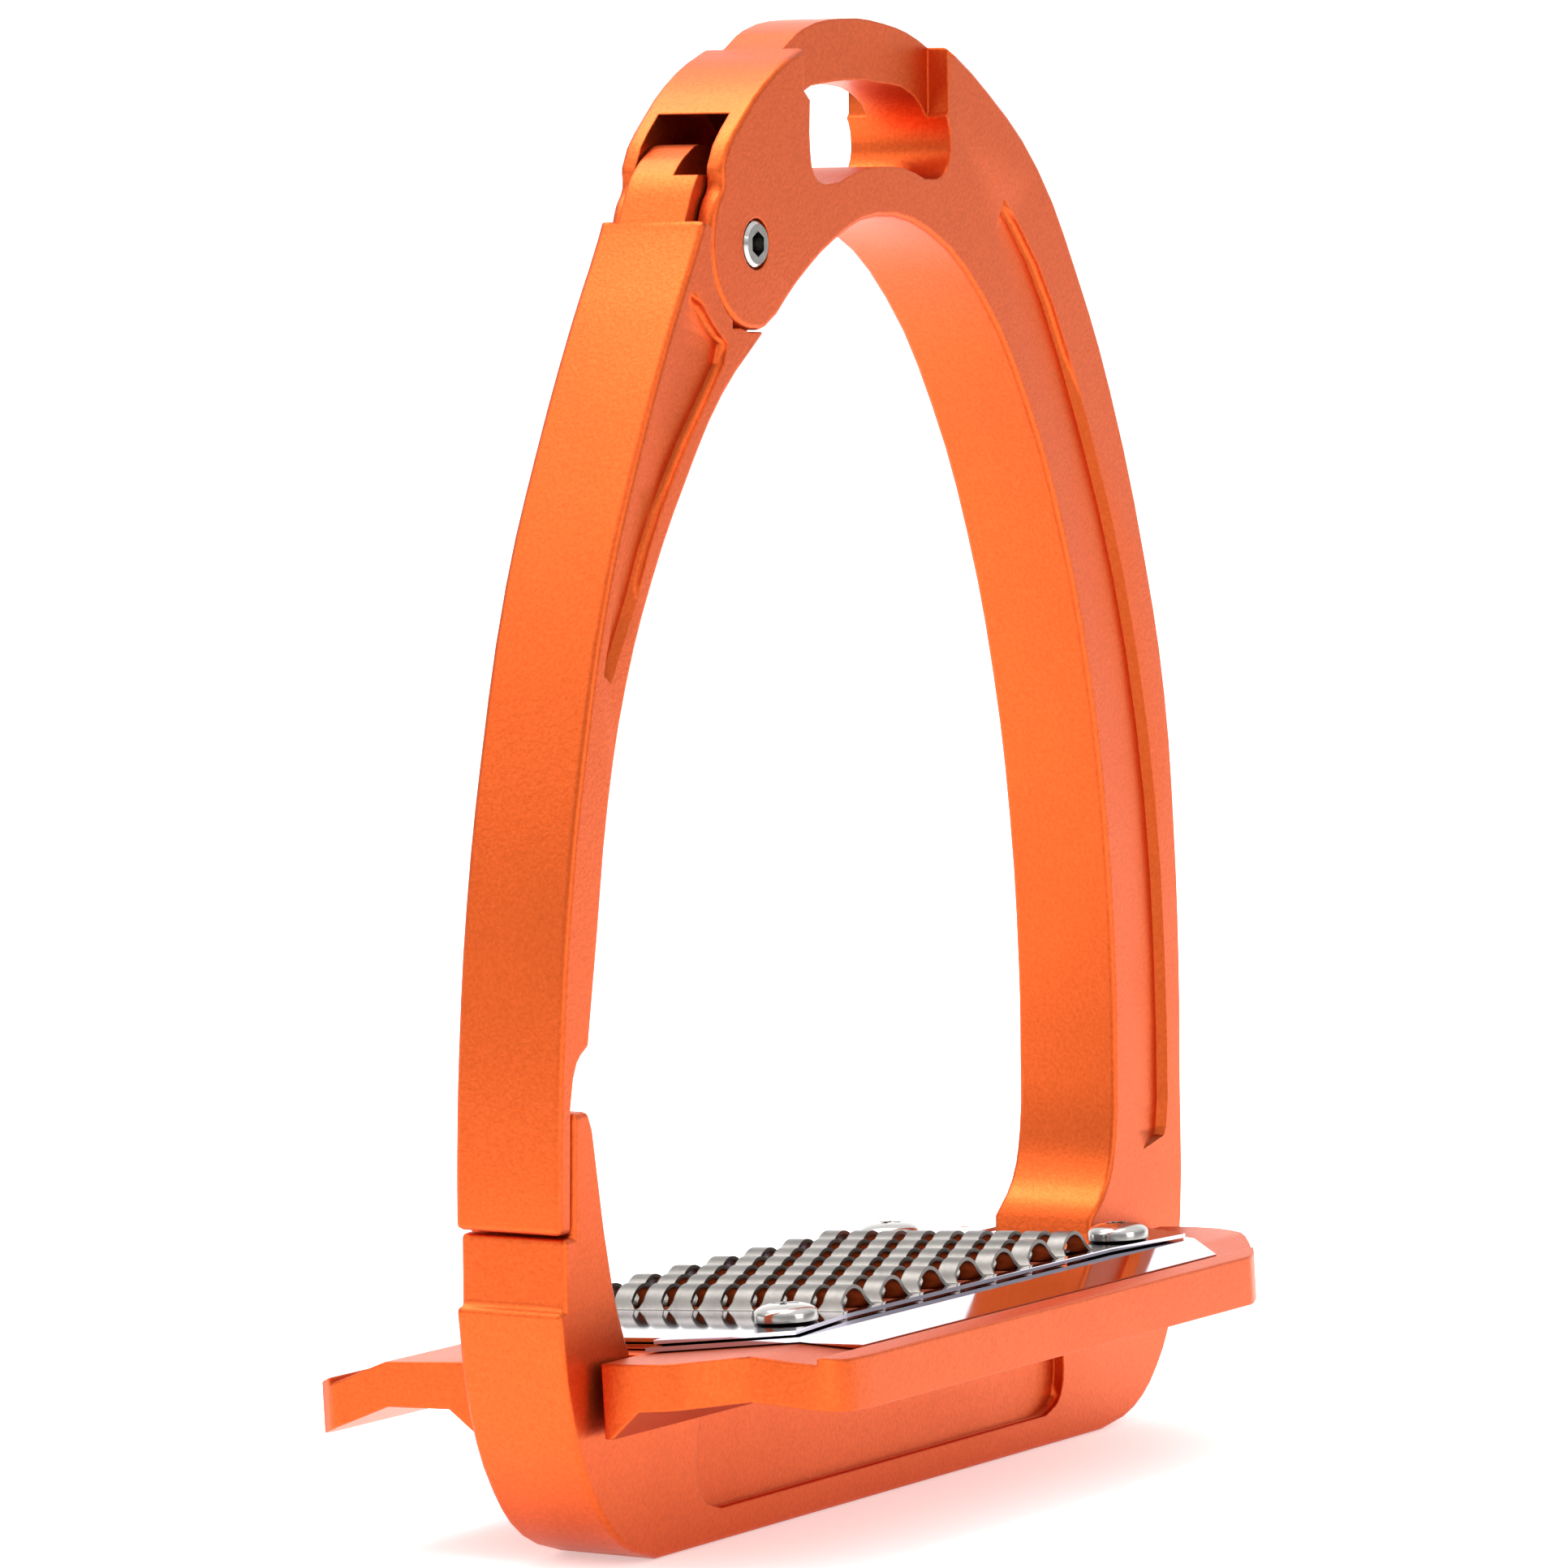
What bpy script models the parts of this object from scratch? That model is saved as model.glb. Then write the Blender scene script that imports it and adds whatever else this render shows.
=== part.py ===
"""Safety stirrup iron: an open frame, a sprung release arm and a screwed-on wing tread.

Sizes are in millimetres and turned into metres as each shape is made. X runs from the release arm
(-X) to the fixed branch (+X), the front is -Y, and the stirrup stands on the flat of its base at Z=0.
"""
from math import cos, pi, radians, sin

import bmesh
import bpy
from mathutils import Matrix

MM = 0.001
GAP = 0.3                  # clearance between touching pieces

DEPTH = 13.3               # front-to-back depth of frame and arm
EDGE = 0.7                 # edge rounding of the forged profile
POCKET = 1.5               # deepest point of the sloping pockets

PIVOT_X, PIVOT_Z = -28.8, 143.55
LOBE = 9.5                 # radius of the ears around the pivot
SLOT_HALF = 4.6            # half width of the slot between the ears
TONGUE_HALF = 4.25
BASE_TOP = 17.1            # top of the base bar, under the tread
PAST = 9                   # cutters reach this far from the middle plane, clear of both faces

PIN_R = 2.0
PIN_HEAD_R = 2.6
LOCK_R = 1.0
PIN_SHOULDER = 5.3         # depth of both head seats from the middle plane
HEAD_PROUD = 0.25
BUSH_R = 3.2
BUSH_HALF = 3.4
WASHER = 0.6
REAR_WASHER_R = 4.0
FRONT_WASHER_R = 3.6
SPRING_POCKET_R = 5.2
WIRE_R = 0.4
COIL_R = 4.35
COIL_TURNS = 2.25
COIL_PITCH = 0.9
COIL_START = -1.6          # the coil runs forward from here to the front washer

TREAD_TILT = 3.2           # degrees, rear edge low
TREAD_CENTRE_Z = 22.9      # height of the tread's upper face on the centre line
CREST_HALF = 21.8          # the tread's flat middle ends here and its edges fall away
FALL = 0.26                # slope of the front edge
RIM_Y = 27.5               # the raised lip along both long edges starts here
RIM = 0.8
SECTION_Y = 32.0           # the section runs past the plan, which trims it
REAR_CREST = 20.0          # the rear edge falls away sooner and more steeply
REAR_FALL = 0.35
TREAD_THICK = 5.0
PLATE = 0.5                # thickness of the bright plate
SHEET = 0.5                # thickness of the grip sheet
SHEET_GAP = 0.2            # clearance between the thin stacked sheets
GRIP_BASE = SHEET_GAP + PLATE + SHEET_GAP
WINDOW_X, WINDOW_Y = 29.0, 17.0    # half size of the opening in the plate under the arches
ARCH_PITCH = 8.7
ROW_PITCH = 3.9
ROWS = 9
ARCHES = 7                 # in each row
ARCH_RISE = 2.3

SCREW_X, SCREW_Y = 39.2, 15.6
SCREW_R = 1.5
SCREW_HEAD_R = 3.6
BOLT_X = 24.0

ORANGE = (0.86, 0.16, 0.035, 1)
STEEL = (0.62, 0.60, 0.57, 1)
BRIGHT = (0.80, 0.80, 0.80, 1)
BRONZE = (0.55, 0.36, 0.16, 1)


# ---------------------------------------------------------------- scene helpers

def clear_scene():
    for item in list(bpy.data.objects):
        bpy.data.objects.remove(item, do_unlink=True)


def new_collection(name):
    made = bpy.data.collections.new(name)
    bpy.context.scene.collection.children.link(made)
    return made


def paint(item, colour, metallic, roughness):
    made = bpy.data.materials.new(item.name)
    made.use_nodes = True
    shader = made.node_tree.nodes['Principled BSDF']
    shader.inputs['Base Color'].default_value = colour
    shader.inputs['Metallic'].default_value = metallic
    shader.inputs['Roughness'].default_value = roughness
    item.data.materials.clear()
    item.data.materials.append(made)


def add_object(name, mesh, collection, at=(0, 0, 0)):
    item = bpy.data.objects.new(name, mesh)
    item.location = [value * MM for value in at]
    collection.objects.link(item)
    return item


def as_mesh(source, collection, at=(0, 0, 0)):
    """Turn a curve object into a welded mesh object whose origin is at the given point."""
    depsgraph = bpy.context.evaluated_depsgraph_get()
    mesh = bpy.data.meshes.new_from_object(source.evaluated_get(depsgraph))
    mesh.transform(source.matrix_world)
    mesh.transform(Matrix.Translation([-value * MM for value in at]))
    welded = bmesh.new()
    welded.from_mesh(mesh)
    bmesh.ops.remove_doubles(welded, verts=welded.verts, dist=1e-6)
    bmesh.ops.dissolve_limit(welded, angle_limit=radians(0.3), verts=welded.verts,
                             edges=welded.edges)
    bmesh.ops.recalc_face_normals(welded, faces=welded.faces)
    welded.to_mesh(mesh)
    welded.free()
    name = source.name
    bpy.data.objects.remove(source, do_unlink=True)
    return add_object(name, mesh, collection, at)


def outline(name, points, start, end, collection, flat=False, at=(0, 0, 0), steps=3):
    """Extrude a closed outline of (x, z, kind) points from Y=start to Y=end, or along Z when flat.

    Kind 'c' is a corner and 's' a point that a smooth curve runs through.
    """
    curve = bpy.data.curves.new(name, 'CURVE')
    curve.dimensions = '2D'
    curve.fill_mode = 'BOTH'
    curve.extrude = (end - start) / 2 * MM
    curve.resolution_u = steps
    spline = curve.splines.new('BEZIER')
    spline.bezier_points.add(len(points) - 1)
    spline.use_cyclic_u = True
    for knot, (along, up, kind) in zip(spline.bezier_points, points):
        knot.co = (along * MM, up * MM, 0)
        knot.handle_left_type = knot.handle_right_type = 'VECTOR' if kind == 'c' else 'AUTO'
    source = bpy.data.objects.new(name, curve)
    middle = (start + end) / 2 * MM
    if flat:
        source.location.z = middle
    else:
        source.rotation_euler.x = radians(90)
        source.location.y = middle
    collection.objects.link(source)
    bpy.context.view_layer.update()
    return as_mesh(source, collection, at)


def box(name, low, high, collection):
    mesh = bpy.data.meshes.new(name)
    shape = bmesh.new()
    bmesh.ops.create_cube(shape, size=1)
    size = [(b - a) * MM for a, b in zip(low, high)]
    middle = [(a + b) / 2 * MM for a, b in zip(low, high)]
    bmesh.ops.scale(shape, vec=size, verts=shape.verts)
    bmesh.ops.translate(shape, vec=middle, verts=shape.verts)
    shape.to_mesh(mesh)
    shape.free()
    return add_object(name, mesh, collection)


def rod(name, radius, start, end, collection, at=(0, 0, 0), axis='Y', sides=24):
    """A cylinder along its axis from start to end, measured from the point at."""
    mesh = bpy.data.meshes.new(name)
    shape = bmesh.new()
    bmesh.ops.create_cone(shape, cap_ends=True, segments=sides, radius1=radius * MM,
                          radius2=radius * MM, depth=(end - start) * MM)
    middle = (start + end) / 2 * MM
    bmesh.ops.translate(shape, vec=(0, 0, middle), verts=shape.verts)
    if axis == 'Y':
        bmesh.ops.rotate(shape, cent=(0, 0, 0), matrix=Matrix.Rotation(radians(-90), 3, 'X'),
                         verts=shape.verts)
    if axis == 'X':
        bmesh.ops.rotate(shape, cent=(0, 0, 0), matrix=Matrix.Rotation(radians(90), 3, 'Y'),
                         verts=shape.verts)
    shape.to_mesh(mesh)
    shape.free()
    return add_object(name, mesh, collection, at)


def turned(name, profile, collection, at=(0, 0, 0), axis='Y', sides=24):
    """A turned body: (radius, height) points run down the outer side, top to bottom."""
    mesh = bpy.data.meshes.new(name)
    shape = bmesh.new()
    knots = [shape.verts.new((radius * MM, 0, height * MM)) for radius, height in profile]
    for first, second in zip(knots, knots[1:]):
        shape.edges.new((first, second))
    if profile[0][0] > 0 and profile[-1][0] > 0:
        shape.edges.new((knots[-1], knots[0]))
    shape.to_mesh(mesh)
    shape.free()
    item = add_object(name, mesh, collection, at)
    screw = item.modifiers.new('turn', 'SCREW')
    screw.steps = screw.render_steps = sides
    screw.use_merge_vertices = True
    screw.merge_threshold = 0.000001
    if axis == 'Y':
        item.rotation_euler.x = radians(-90)
    return item


def wedge(name, wall, rim, depth, side, collection):
    """Cutter for a pocket whose floor sinks from its rim line to its wall line on one face."""
    face = side * DEPTH / 2
    outside = face + side * 2
    mesh = bpy.data.meshes.new(name)
    shape = bmesh.new()
    rings = []
    for (wall_x, wall_z), (rim_x, rim_z) in zip(wall, rim):
        ring = [(wall_x, face - side * depth, wall_z), (wall_x, outside, wall_z),
                (rim_x, outside, rim_z), (rim_x, face + side * 0.02, rim_z)]
        rings.append([shape.verts.new([value * MM for value in corner]) for corner in ring])
    for first, second in zip(rings, rings[1:]):
        for i in range(4):
            j = (i + 1) % 4
            shape.faces.new((first[i], first[j], second[j], second[i]))
    shape.faces.new(rings[0])
    shape.faces.new(rings[-1])
    bmesh.ops.recalc_face_normals(shape, faces=shape.faces)
    shape.to_mesh(mesh)
    shape.free()
    return add_object(name, mesh, collection)


def round_edges(item, width, segments=2, angle=40):
    bevel = item.modifiers.new('edges', 'BEVEL')
    bevel.width = width * MM
    bevel.segments = segments
    bevel.limit_method = 'ANGLE'
    bevel.angle_limit = radians(angle)
    bevel.use_clamp_overlap = True


def combine(item, tool, operation='DIFFERENCE', solver='EXACT'):
    change = item.modifiers.new(tool.name, 'BOOLEAN')
    change.operation = operation
    change.solver = solver
    change.object = tool
    tool.hide_render = True
    tool.display_type = 'WIRE'


def smooth(item):
    item.data.shade_smooth()
    item.data.set_sharp_from_angle(angle=radians(32))


# ---------------------------------------------------------------- outline helpers

def arc(centre_x, centre_z, radius, first, last, count):
    """Smooth outline points along an arc, angles in degrees from +X."""
    angles = [radians(first + (last - first) * i / (count - 1)) for i in range(count)]
    return [(centre_x + radius * cos(a), centre_z + radius * sin(a), 's') for a in angles]


def along_curve(points, count):
    """Evenly numbered points on a smooth open curve through the given ones."""
    made = []
    last = len(points) - 1
    for i in range(count):
        place = i / (count - 1) * last
        k = min(int(place), last - 1)
        t = place - k
        before, start = points[max(k - 1, 0)], points[k]
        end, after = points[k + 1], points[min(k + 2, last)]
        made.append(tuple(
            0.5 * (2 * b + (c - a) * t + (2 * a - 5 * b + 4 * c - d) * t ** 2
                   + (3 * b - a - 3 * c + d) * t ** 3)
            for a, b, c, d in zip(before, start, end, after)))
    return made


# ---------------------------------------------------------------- frame

def frame_outline():
    crown = [(-35.9, 152.2, 's'), (-31.2, 157.8, 's'), (-24, 162.9, 's'), (-17.6, 165.5, 'c'),
             (-13.5, 167.6, 's'), (-4.5, 169, 's'), (5, 168.6, 's'), (13.0, 166.9, 's'),
             (25.5, 160.9, 's')]
    outer = [(37.4, 152.2, 's'), (47, 139.8, 's'), (55.4, 125.7, 's'), (64.4, 104.6, 's'),
             (69.3, 88.3, 's'), (71.7, 71.2, 's'), (72.8, 55.6, 's'), (73, 40, 's'), (73, 24, 's'),
             (70.6, 12.4, 's'), (66.5, 5.8, 's'), (60.5, 1.6, 's'), (52, 0, 'c')]
    foot = [(-52, 0, 'c'), (-59.4, 2.6, 's'), (-65.2, 8.2, 's'), (-69.8, 17.5, 's'),
            (-72.1, 29.4, 'c'), (-70.9, 29.6, 'c'), (-70.9, 37.4, 'c')]
    finger = [(-69, 37.4, 'c'), (-68.7, 50.7, 'c'), (-65.7, 50.7, 'c'), (-64.7, 48.6, 'c'),
              (-60.9, 31.5, 's'), (-59, 26.4, 's'), (-57.4, 23.2, 'c'), (-57.4, BASE_TOP, 'c')]
    branch = [(48.9, BASE_TOP, 'c'), (48.9, 25.8, 'c'), (53.2, 29.8, 's'), (55.1, 35.5, 's'),
              (55.4, 45, 's'), (55.1, 55.5, 's'), (53, 74.1, 's'), (49.05, 91.5, 's'),
              (42.8, 108.6, 's'), (34.2, 124.2, 's'), (23.3, 137.0, 's'), (10.9, 144.6, 's'),
              (-1.5, 146.5, 's'), (-10.9, 143.9, 's'), (-19.6, 139.1, 's')]
    lobe = arc(PIVOT_X, PIVOT_Z, LOBE, 283 - 360, 138 - 360, 11)
    return crown + outer + foot + finger + branch + lobe


def eye_outline():
    return [(-16.7, 154, 's'), (-16.7, 159.4, 'c'), (-11.7, 161.3, 'c'), (-4, 162, 's'),
            (4.5, 161.8, 's'), (10.8, 160.9, 's'), (14.6, 158.4, 's'), (15.8, 155.4, 's'),
            (15.1, 152.4, 's'), (12.4, 150.8, 's'), (4.4, 152.1, 's'), (-4.5, 151.9, 's'),
            (-13, 150.2, 's'), (-15.8, 151.2, 's')]


def recess_outline():
    return [(-18, 176, 'c'), (-18, 160.6, 'c'), (-14, 157.4, 'c'), (13.2, 156.2, 'c'),
            (15.3, 158.6, 'c'), (15.3, 176, 'c')]


def branch_pocket(side, tools):
    wall = along_curve([(28.6, 148.6), (36.8, 141), (44.5, 130), (54.6, 111.5), (61.4, 94.4),
                        (66.2, 75.6), (68.5, 57), (69.2, 38.5), (68.2, 34.2)], 17)
    rim = along_curve([(26.2, 144.8), (29.5, 137.5), (37.4, 124), (46, 107.5), (51.9, 91),
                       (56, 73.5), (58.2, 55), (58.6, 40), (62.6, 33)], 17)
    return wedge('branch_pocket', wall, rim, POCKET, side, tools)


def base_pocket(side, tools):
    face = side * DEPTH / 2
    shape = [(-43.6, 11, 's'), (-42.9, 5.6, 's'), (-38.6, 3.7, 'c'), (37.4, 3.7, 'c'),
             (41.1, 5.6, 's'), (41.8, 11, 's'), (41, 14.6, 'c'), (-42.8, 14.6, 'c')]
    ends = sorted((face - side * 1.4, face + side * 2))
    return outline('base_pocket', shape, ends[0], ends[1], tools)


def make_frame(parts, tools):
    frame = outline('frame', frame_outline(), -DEPTH / 2, DEPTH / 2, parts)
    round_edges(frame, EDGE, 2, 62)
    pivot = (PIVOT_X, 0, PIVOT_Z)
    cuts = [outline('eye_cut', eye_outline(), -PAST, PAST, tools)]
    for side in (-1, 1):
        ends = sorted((side * 3.9, side * PAST))
        cuts.append(outline('bar_recess', recess_outline(), ends[0], ends[1], tools))
        cuts.append(branch_pocket(side, tools))
        cuts.append(base_pocket(side, tools))
    cuts.append(box('clevis_cut', (-75, -SLOT_HALF, 120), (-20.6, SLOT_HALF, 158), tools))
    anchor = (-20.6, COIL_START - COIL_TURNS * COIL_PITCH, PIVOT_Z + COIL_R)
    cuts.append(rod('spring_anchor', WIRE_R + GAP, -1, 2.2, tools, anchor, 'X', 16))
    narrow, wide = PIN_R + GAP, PIN_HEAD_R + GAP
    cuts.append(turned('pin_bore', [(0, PAST), (wide, PAST), (wide, PIN_SHOULDER),
                                    (narrow, PIN_SHOULDER), (narrow, -PIN_SHOULDER),
                                    (wide, -PIN_SHOULDER), (wide, -PAST), (0, -PAST)],
                       tools, pivot))
    for x in (-BOLT_X, BOLT_X):
        cuts.append(turned('bolt_bore', [(0, 30), (2.5, 30), (2.5, 6.4), (4.5, 6.4), (4.5, -2),
                                         (0, -2)], tools, (x, 0, 0), 'Z'))
    for cut in cuts:
        combine(frame, cut, solver='MANIFOLD')
    smooth(frame)
    paint(frame, ORANGE, 1.0, 0.38)
    return frame


# ---------------------------------------------------------------- release arm and hinge

def arm_outline():
    outer = [(-41.0, 144.6, 's'), (-46.9, 135.05, 's'), (-54.5, 121, 's'), (-60.9, 106.9, 's'),
             (-66.3, 88.3, 's'), (-69.5, 72.7, 's'), (-71.3, 57.1, 's'), (-71.9, 46, 's'),
             (-72, 37.8, 'c')]
    tail = [(-69.3, 37.8, 'c'), (-69, 51.2, 'c'), (-67.6, 56, 's'), (-65.3, 57.6, 'c')]
    inner = [(-63.2, 69.65, 's'), (-60.7, 83.6, 's'), (-56.8, 96, 's'), (-51.3, 106.9, 's'),
             (-43.8, 117.8, 's'), (-36, 126.9, 's'), (-27.4, 133.3, 'c')]
    tongue = [(-25.6, 135.4, 'c')] + arc(PIVOT_X, PIVOT_Z, 7.2, -60, 55, 7)
    top = [(PIVOT_X + 1.8, PIVOT_Z + 9.4, 's')] + arc(PIVOT_X, PIVOT_Z, 11.4, 104, 158, 5)
    return outer + tail + inner + tongue + top


def shoulder_cut_outline():
    sweep = arc(PIVOT_X, PIVOT_Z, LOBE + 0.4, 169.2, 292, 11)
    return [(-50, 145.4, 'c')] + sweep + [(-10, 134.6, 'c'), (-10, 176, 'c'), (-50, 176, 'c')]


def spring_way_outline():
    """Room in the tongue's front half for the crown leg to sweep as the arm opens."""
    step = PIVOT_X + 0.4
    return [(-41, 151.2, 'c'), (step, 151.2, 'c'), (step, 146.6, 'c'), (-12, 146.6, 'c'),
            (-12, 160, 'c'), (-41, 160, 'c')]


def arm_pocket(side, tools):
    wall = along_curve([(-41.8, 138.2), (-37.6, 134.2), (-35.3, 131.4), (-43.6, 122.2),
                        (-50.5, 113.3), (-55.3, 104.7), (-60.4, 96.4)], 15)
    rim = along_curve([(-43.2, 138.6), (-45.3, 135.5), (-47.3, 132), (-51.3, 124.6),
                       (-55.2, 116.2), (-59, 107.5), (-61.9, 97.4)], 15)
    return wedge('arm_pocket', wall, rim, POCKET, side, tools)


def make_arm(parts, tools):
    pivot = (PIVOT_X, 0, PIVOT_Z)
    arm = outline('release_arm', arm_outline(), -DEPTH / 2, DEPTH / 2, parts, at=pivot)
    round_edges(arm, EDGE, 2, 62)
    for side in (-1, 1):
        ends = sorted((side * TONGUE_HALF, side * PAST))
        combine(arm, outline('shoulder_cut', shoulder_cut_outline(), ends[0], ends[1], tools))
        combine(arm, arm_pocket(side, tools))
    combine(arm, rod('bush_bore', BUSH_R + GAP, -PAST, PAST, tools, pivot))
    combine(arm, rod('washer_seat', REAR_WASHER_R + GAP, BUSH_HALF, PAST, tools, pivot))
    combine(arm, rod('spring_pocket', SPRING_POCKET_R, -PAST, -0.9, tools, pivot))
    combine(arm, outline('spring_way', spring_way_outline(), -PAST, -1.05, tools))
    combine(arm, box('leg_groove', (-34.1, -PAST, 134.1), (-32.2, -0.8, 143), tools))
    smooth(arm)
    paint(arm, ORANGE, 1.0, 0.36)
    return arm


def make_pin(parts, tools):
    """The hinge pin: a socket head in front and a thread bore behind."""
    pivot = (PIVOT_X, 0, PIVOT_Z)
    face = DEPTH / 2 + HEAD_PROUD
    head = PIN_SHOULDER + GAP
    pin = turned('hinge_pin', [(0, PIN_SHOULDER - 0.1), (PIN_R, PIN_SHOULDER - 0.1), (PIN_R, -head),
                               (PIN_HEAD_R, -head), (PIN_HEAD_R, -face + 0.35),
                               (PIN_HEAD_R - 0.35, -face), (0, -face)], parts, pivot)
    combine(pin, rod('hex_socket', 1.45, -PAST, -head, tools, pivot, sides=6))
    combine(pin, rod('thread_bore', LOCK_R + GAP, 0.5, PAST, tools, pivot))
    paint(pin, BRIGHT, 1.0, 0.25)


def make_lock_screw(parts, tools):
    pivot = (PIVOT_X, 0, PIVOT_Z)
    face = DEPTH / 2 + HEAD_PROUD
    head = PIN_SHOULDER + GAP
    lock = turned('hinge_lock_screw', [(0, face), (PIN_HEAD_R - 0.35, face),
                                       (PIN_HEAD_R, face - 0.35), (PIN_HEAD_R, head),
                                       (LOCK_R, head), (LOCK_R, 1.2), (0, 1.2)], parts, pivot)
    combine(lock, rod('lock_socket', 1.25, head + GAP, PAST, tools, pivot, sides=6))
    paint(lock, BRIGHT, 1.0, 0.25)


def make_ring(name, radius, start, end, arm, parts):
    """A bush or washer round the pin, carried by the arm."""
    ring = turned(name, [(PIN_R + GAP, end), (radius, end), (radius, start), (PIN_R + GAP, start)],
                  parts)
    ring.parent = arm
    paint(ring, BRONZE, 1.0, 0.38)


def make_hinge(parts, tools, arm):
    make_pin(parts, tools)
    make_lock_screw(parts, tools)
    seat = BUSH_HALF + GAP
    make_ring('hinge_bush', BUSH_R, -BUSH_HALF, BUSH_HALF, arm, parts)
    make_ring('thrust_washer_rear', REAR_WASHER_R, seat, seat + WASHER, arm, parts)
    make_ring('thrust_washer_front', FRONT_WASHER_R, -seat - WASHER, -seat, arm, parts)


def spring_route():
    """Closing spring about the pivot: arm leg up, coil, then a leg into the crown's wall."""
    per_turn = 20
    coil = []
    for i in range(int(COIL_TURNS * per_turn) + 1):
        turn = i / per_turn
        angle = pi - 2 * pi * turn
        coil.append((COIL_R * cos(angle), COIL_START - COIL_PITCH * turn, COIL_R * sin(angle)))
    last_y = coil[-1][1]
    arm_leg = [(-COIL_R, COIL_START, -8.6), (-COIL_R, COIL_START, -0.8)]
    crown_leg = [(0.8, last_y, COIL_R), (9.6, last_y, COIL_R)]
    return arm_leg + coil + crown_leg


def make_spring(parts):
    curve = bpy.data.curves.new('closing_spring', 'CURVE')
    curve.dimensions = '3D'
    curve.bevel_depth = WIRE_R * MM
    curve.bevel_resolution = 2
    curve.use_fill_caps = True
    route = spring_route()
    spline = curve.splines.new('POLY')
    spline.points.add(len(route) - 1)
    for knot, place in zip(spline.points, route):
        knot.co = (place[0] * MM, place[1] * MM, place[2] * MM, 1)
    source = bpy.data.objects.new('closing_spring', curve)
    source.location = (PIVOT_X * MM, 0, PIVOT_Z * MM)
    parts.objects.link(source)
    bpy.context.view_layer.update()
    spring = as_mesh(source, parts, (PIVOT_X, 0, PIVOT_Z))
    spring.data.shade_smooth()
    paint(spring, STEEL, 1.0, 0.3)


# ---------------------------------------------------------------- tread

def tread_section():
    """Cross-section in (y, z) of the tread in its own level frame, upper face at z=0."""
    front_foot = -(RIM_Y - CREST_HALF) * FALL
    front_edge = -(SECTION_Y - CREST_HALF) * FALL
    rear_foot = -(RIM_Y - REAR_CREST) * REAR_FALL
    rear_edge = -(SECTION_Y - REAR_CREST) * REAR_FALL
    front = [(-8.6, -8.2), (-12.2, -5.2), (-CREST_HALF, -TREAD_THICK),
             (-SECTION_Y, front_edge - TREAD_THICK), (-SECTION_Y, front_edge + RIM),
             (-RIM_Y, front_foot + RIM), (-RIM_Y, front_foot), (-CREST_HALF, 0)]
    rear = [(REAR_CREST, 0), (RIM_Y, rear_foot), (RIM_Y, rear_foot + RIM),
            (SECTION_Y, rear_edge + RIM), (SECTION_Y, rear_edge - TREAD_THICK),
            (REAR_CREST, -TREAD_THICK), (12.2, -5.2), (8.6, -8.2)]
    return [(y, z, 'c') for y, z in front + rear]


def tread_corners():
    """Plan of the wing corners, each from the frame's side out to the middle of a long edge."""
    front_left = [(65.3, 7.55, 'c'), (65.1, 15.5, 's'), (62.3, 18.4, 's'), (58.0, 21.8, 's'),
                  (54.6, 26.2, 's'), (51.4, 29, 's'), (46.5, 29.75, 's'), (43, 29.8, 'c')]
    front_right = [(65.3, 7.55, 'c'), (65.1, 12.5, 's'), (60.8, 20.4, 's'), (52.4, 26.6, 's'),
                   (46.4, 29.6, 's'), (43, 29.8, 'c')]
    rear = [(65.3, 7.55, 'c'), (66, 26.5, 'c'), (64.8, 29, 'c'), (62, 29.8, 'c')]
    return front_left, front_right, rear


def four_corners(front_left, front_right, rear, waist_left, waist_right, waist_y):
    """A closed plan from its corners' points, with a step round the frame on each side."""
    right = [(x, -y, kind) for x, y, kind in front_right]
    left = [(-x, -y, kind) for x, y, kind in reversed(front_left)]
    back_left = [(-x, y, kind) for x, y, kind in rear]
    back_right = [(x, y, kind) for x, y, kind in reversed(rear)]
    right_step = [(waist_right, waist_y, 'c'), (waist_right, -waist_y, 'c')]
    left_step = [(-waist_left, -waist_y, 'c'), (-waist_left, waist_y, 'c')]
    return right_step + right + left + left_step + back_left + back_right


def tilt_tread(item):
    """Lay a level tread piece on the tilted tread plane."""
    item.rotation_euler.x = radians(-TREAD_TILT)
    item.location.z = TREAD_CENTRE_Z * MM


def place_on_tread(item, x, y):
    """Stand a piece made along Z on the tread plane at plan position x, y."""
    tilt = radians(-TREAD_TILT)
    item.rotation_euler.x = tilt
    item.location = (x * MM, y * cos(tilt) * MM, (TREAD_CENTRE_Z + y * sin(tilt)) * MM)


def drill_screw_holes(item, tools):
    for x in (-SCREW_X, SCREW_X):
        for y in (-SCREW_Y, SCREW_Y):
            hole = rod('screw_hole', SCREW_R + GAP, -4.2, PAST, tools, (x, y, 0), 'Z')
            place_on_tread(hole, x, y)
            combine(item, hole)


def make_tread(parts, tools):
    plan = four_corners(*tread_corners(), 56.8, 48.3, 7.55)
    tread = outline('tread_platform', plan, -12, 6, parts, flat=True)
    section = outline('tread_section', tread_section(), -70, 70, tools)
    section.data.transform(Matrix.Rotation(radians(90), 4, 'Z'))
    combine(tread, section, 'INTERSECT')
    round_edges(tread, 0.6, 2, 50)
    tilt_tread(tread)
    tilt_tread(section)
    combine(tread, box('saddle', (-80, -7.2, -5), (80, 7.2, BASE_TOP + GAP), tools))
    for x in (-BOLT_X, BOLT_X):
        combine(tread, rod('tread_thread', 2.0 + GAP, -5, 21.4, tools, (x, 0, 0), 'Z'))
    drill_screw_holes(tread, tools)
    smooth(tread)
    paint(tread, ORANGE, 1.0, 0.36)
    return tread


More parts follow.
